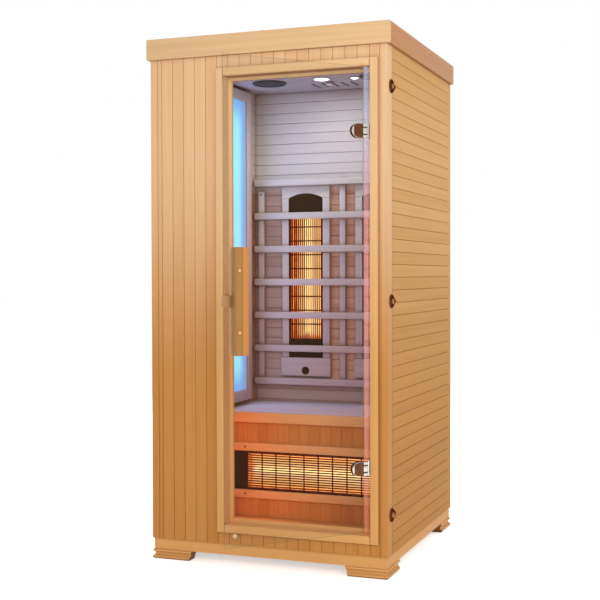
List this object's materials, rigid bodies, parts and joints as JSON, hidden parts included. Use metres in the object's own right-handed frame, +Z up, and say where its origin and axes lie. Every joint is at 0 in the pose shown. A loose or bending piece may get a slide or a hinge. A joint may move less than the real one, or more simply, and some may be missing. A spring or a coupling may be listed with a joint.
{
  "type": "infrared sauna cabin",
  "caption": "Upright boarded timber cabin with a clear swinging glass door, a bench seat and a slatted backrest, and tube heaters behind wire grilles that warm a sitter by infrared.",
  "frame": {"origin": "on the floor, below the middle of the bounding box with the door ajar as in the picture", "axes": "+Z up, -Y out of the front with the door, +X to the right seen from the front"},
  "size_m": [0.924, 1.3524, 1.9],
  "materials": {
    "wood": "clear oiled pale softwood boards, V-jointed",
    "inner_wood": "bare planed pale softwood",
    "black_metal": "black heat-resistant paint on sheet steel",
    "black_plastic": "matte black moulded plastic",
    "grille_wire": "dark heat-blued steel wire",
    "heater_tube": "glowing orange quartz tube",
    "door_glass": "clear toughened glass with polished edges",
    "chrome": "polished chrome",
    "bronze": "dark antique bronze",
    "lamp": "white lamp lens with a bright rim",
    "colour_lamp": "translucent diffuser lit pale blue",
    "clear_plastic": "soft translucent plastic"
  },
  "bodies": {
    "cabin": {"base_frame": "wood", "floor_panel": "wood", "foot_front_left": "wood", "foot_front_right": "wood", "foot_rear_left": "wood", "foot_rear_right": "wood", "front_wall": "wood", "left_wall": "wood", "right_wall": "wood", "back_wall": "wood", "door_casing": "wood", "door_stop": "wood", "roof_fascia": "wood", "roof_cover": "wood", "bench_skirt": "wood", "kick_panel": "wood", "ceiling_panel": "inner_wood", "bench_seat": "inner_wood", "kick_rail_upper": "inner_wood", "kick_rail_lower": "inner_wood", "backrest": "inner_wood", "light_frame": "inner_wood", "back_heater_left_surround": "inner_wood", "back_heater_right_surround": "inner_wood", "speaker_left": "black_plastic", "speaker_right": "black_plastic", "power_box": "black_plastic", "cable_gland": "black_plastic", "door_magnet": "black_plastic", "back_heater_left_housing": "black_metal", "back_heater_left_element": "heater_tube", "back_heater_left_grille": "grille_wire", "back_heater_right_housing": "black_metal", "back_heater_right_element": "heater_tube", "back_heater_right_grille": "grille_wire", "leg_heater_housing": "black_metal", "leg_heater_element": "heater_tube", "leg_heater_grille": "grille_wire", "downlight": "lamp", "reading_light": "lamp", "light_diffuser": "colour_lamp", "control_panel": "clear_plastic", "hinge_leaf_lower": "chrome", "hinge_leaf_upper": "chrome", "hinge_pin_lower": "chrome", "hinge_pin_upper": "chrome"},
    "door": {"door_glass": "door_glass", "door_seal": "clear_plastic", "hinge_clamp_lower": "chrome", "hinge_clamp_upper": "chrome", "handle_outer": "wood", "handle_inner": "wood", "door_strike": "chrome"},
    "vent": {"vent_slider": "inner_wood"},
    "latch_left_bottom": {"latch_left_bottom": "bronze"},
    "latch_left_middle": {"latch_left_middle": "bronze"},
    "latch_left_top": {"latch_left_top": "bronze"},
    "latch_right_bottom": {"latch_right_bottom": "bronze"},
    "latch_right_middle": {"latch_right_middle": "bronze"},
    "latch_right_top": {"latch_right_top": "bronze"}
  },
  "joints": [
    {"name": "door_hinge", "type": "hinge", "parent": "cabin", "child": "door", "pos_m": [0.3825, -0.27511, 0.955], "axis": [0, 0, 1], "range_deg": [-47.5, 47.5]},
    {"name": "vent_slide", "type": "slide", "parent": "cabin", "child": "vent", "axis": [1, 0, 0], "range_m": [0, 0.021]},
    {"name": "latch_left_bottom_turn", "type": "hinge", "parent": "cabin", "child": "latch_left_bottom", "pos_m": [-0.452, -0.22712, 0.216], "axis": [1, 0, 0], "range_deg": [0, 90]},
    {"name": "latch_left_middle_turn", "type": "hinge", "parent": "cabin", "child": "latch_left_middle", "pos_m": [-0.452, -0.22712, 0.9505], "axis": [1, 0, 0], "range_deg": [0, 90]},
    {"name": "latch_left_top_turn", "type": "hinge", "parent": "cabin", "child": "latch_left_top", "pos_m": [-0.452, -0.22712, 1.685], "axis": [1, 0, 0], "range_deg": [0, 90]},
    {"name": "latch_right_bottom_turn", "type": "hinge", "parent": "cabin", "child": "latch_right_bottom", "pos_m": [0.452, -0.22712, 0.216], "axis": [1, 0, 0], "range_deg": [0, 90]},
    {"name": "latch_right_middle_turn", "type": "hinge", "parent": "cabin", "child": "latch_right_middle", "pos_m": [0.452, -0.22712, 0.9505], "axis": [1, 0, 0], "range_deg": [0, 90]},
    {"name": "latch_right_top_turn", "type": "hinge", "parent": "cabin", "child": "latch_right_top", "pos_m": [0.452, -0.22712, 1.685], "axis": [1, 0, 0], "range_deg": [0, 90]}
  ]
}
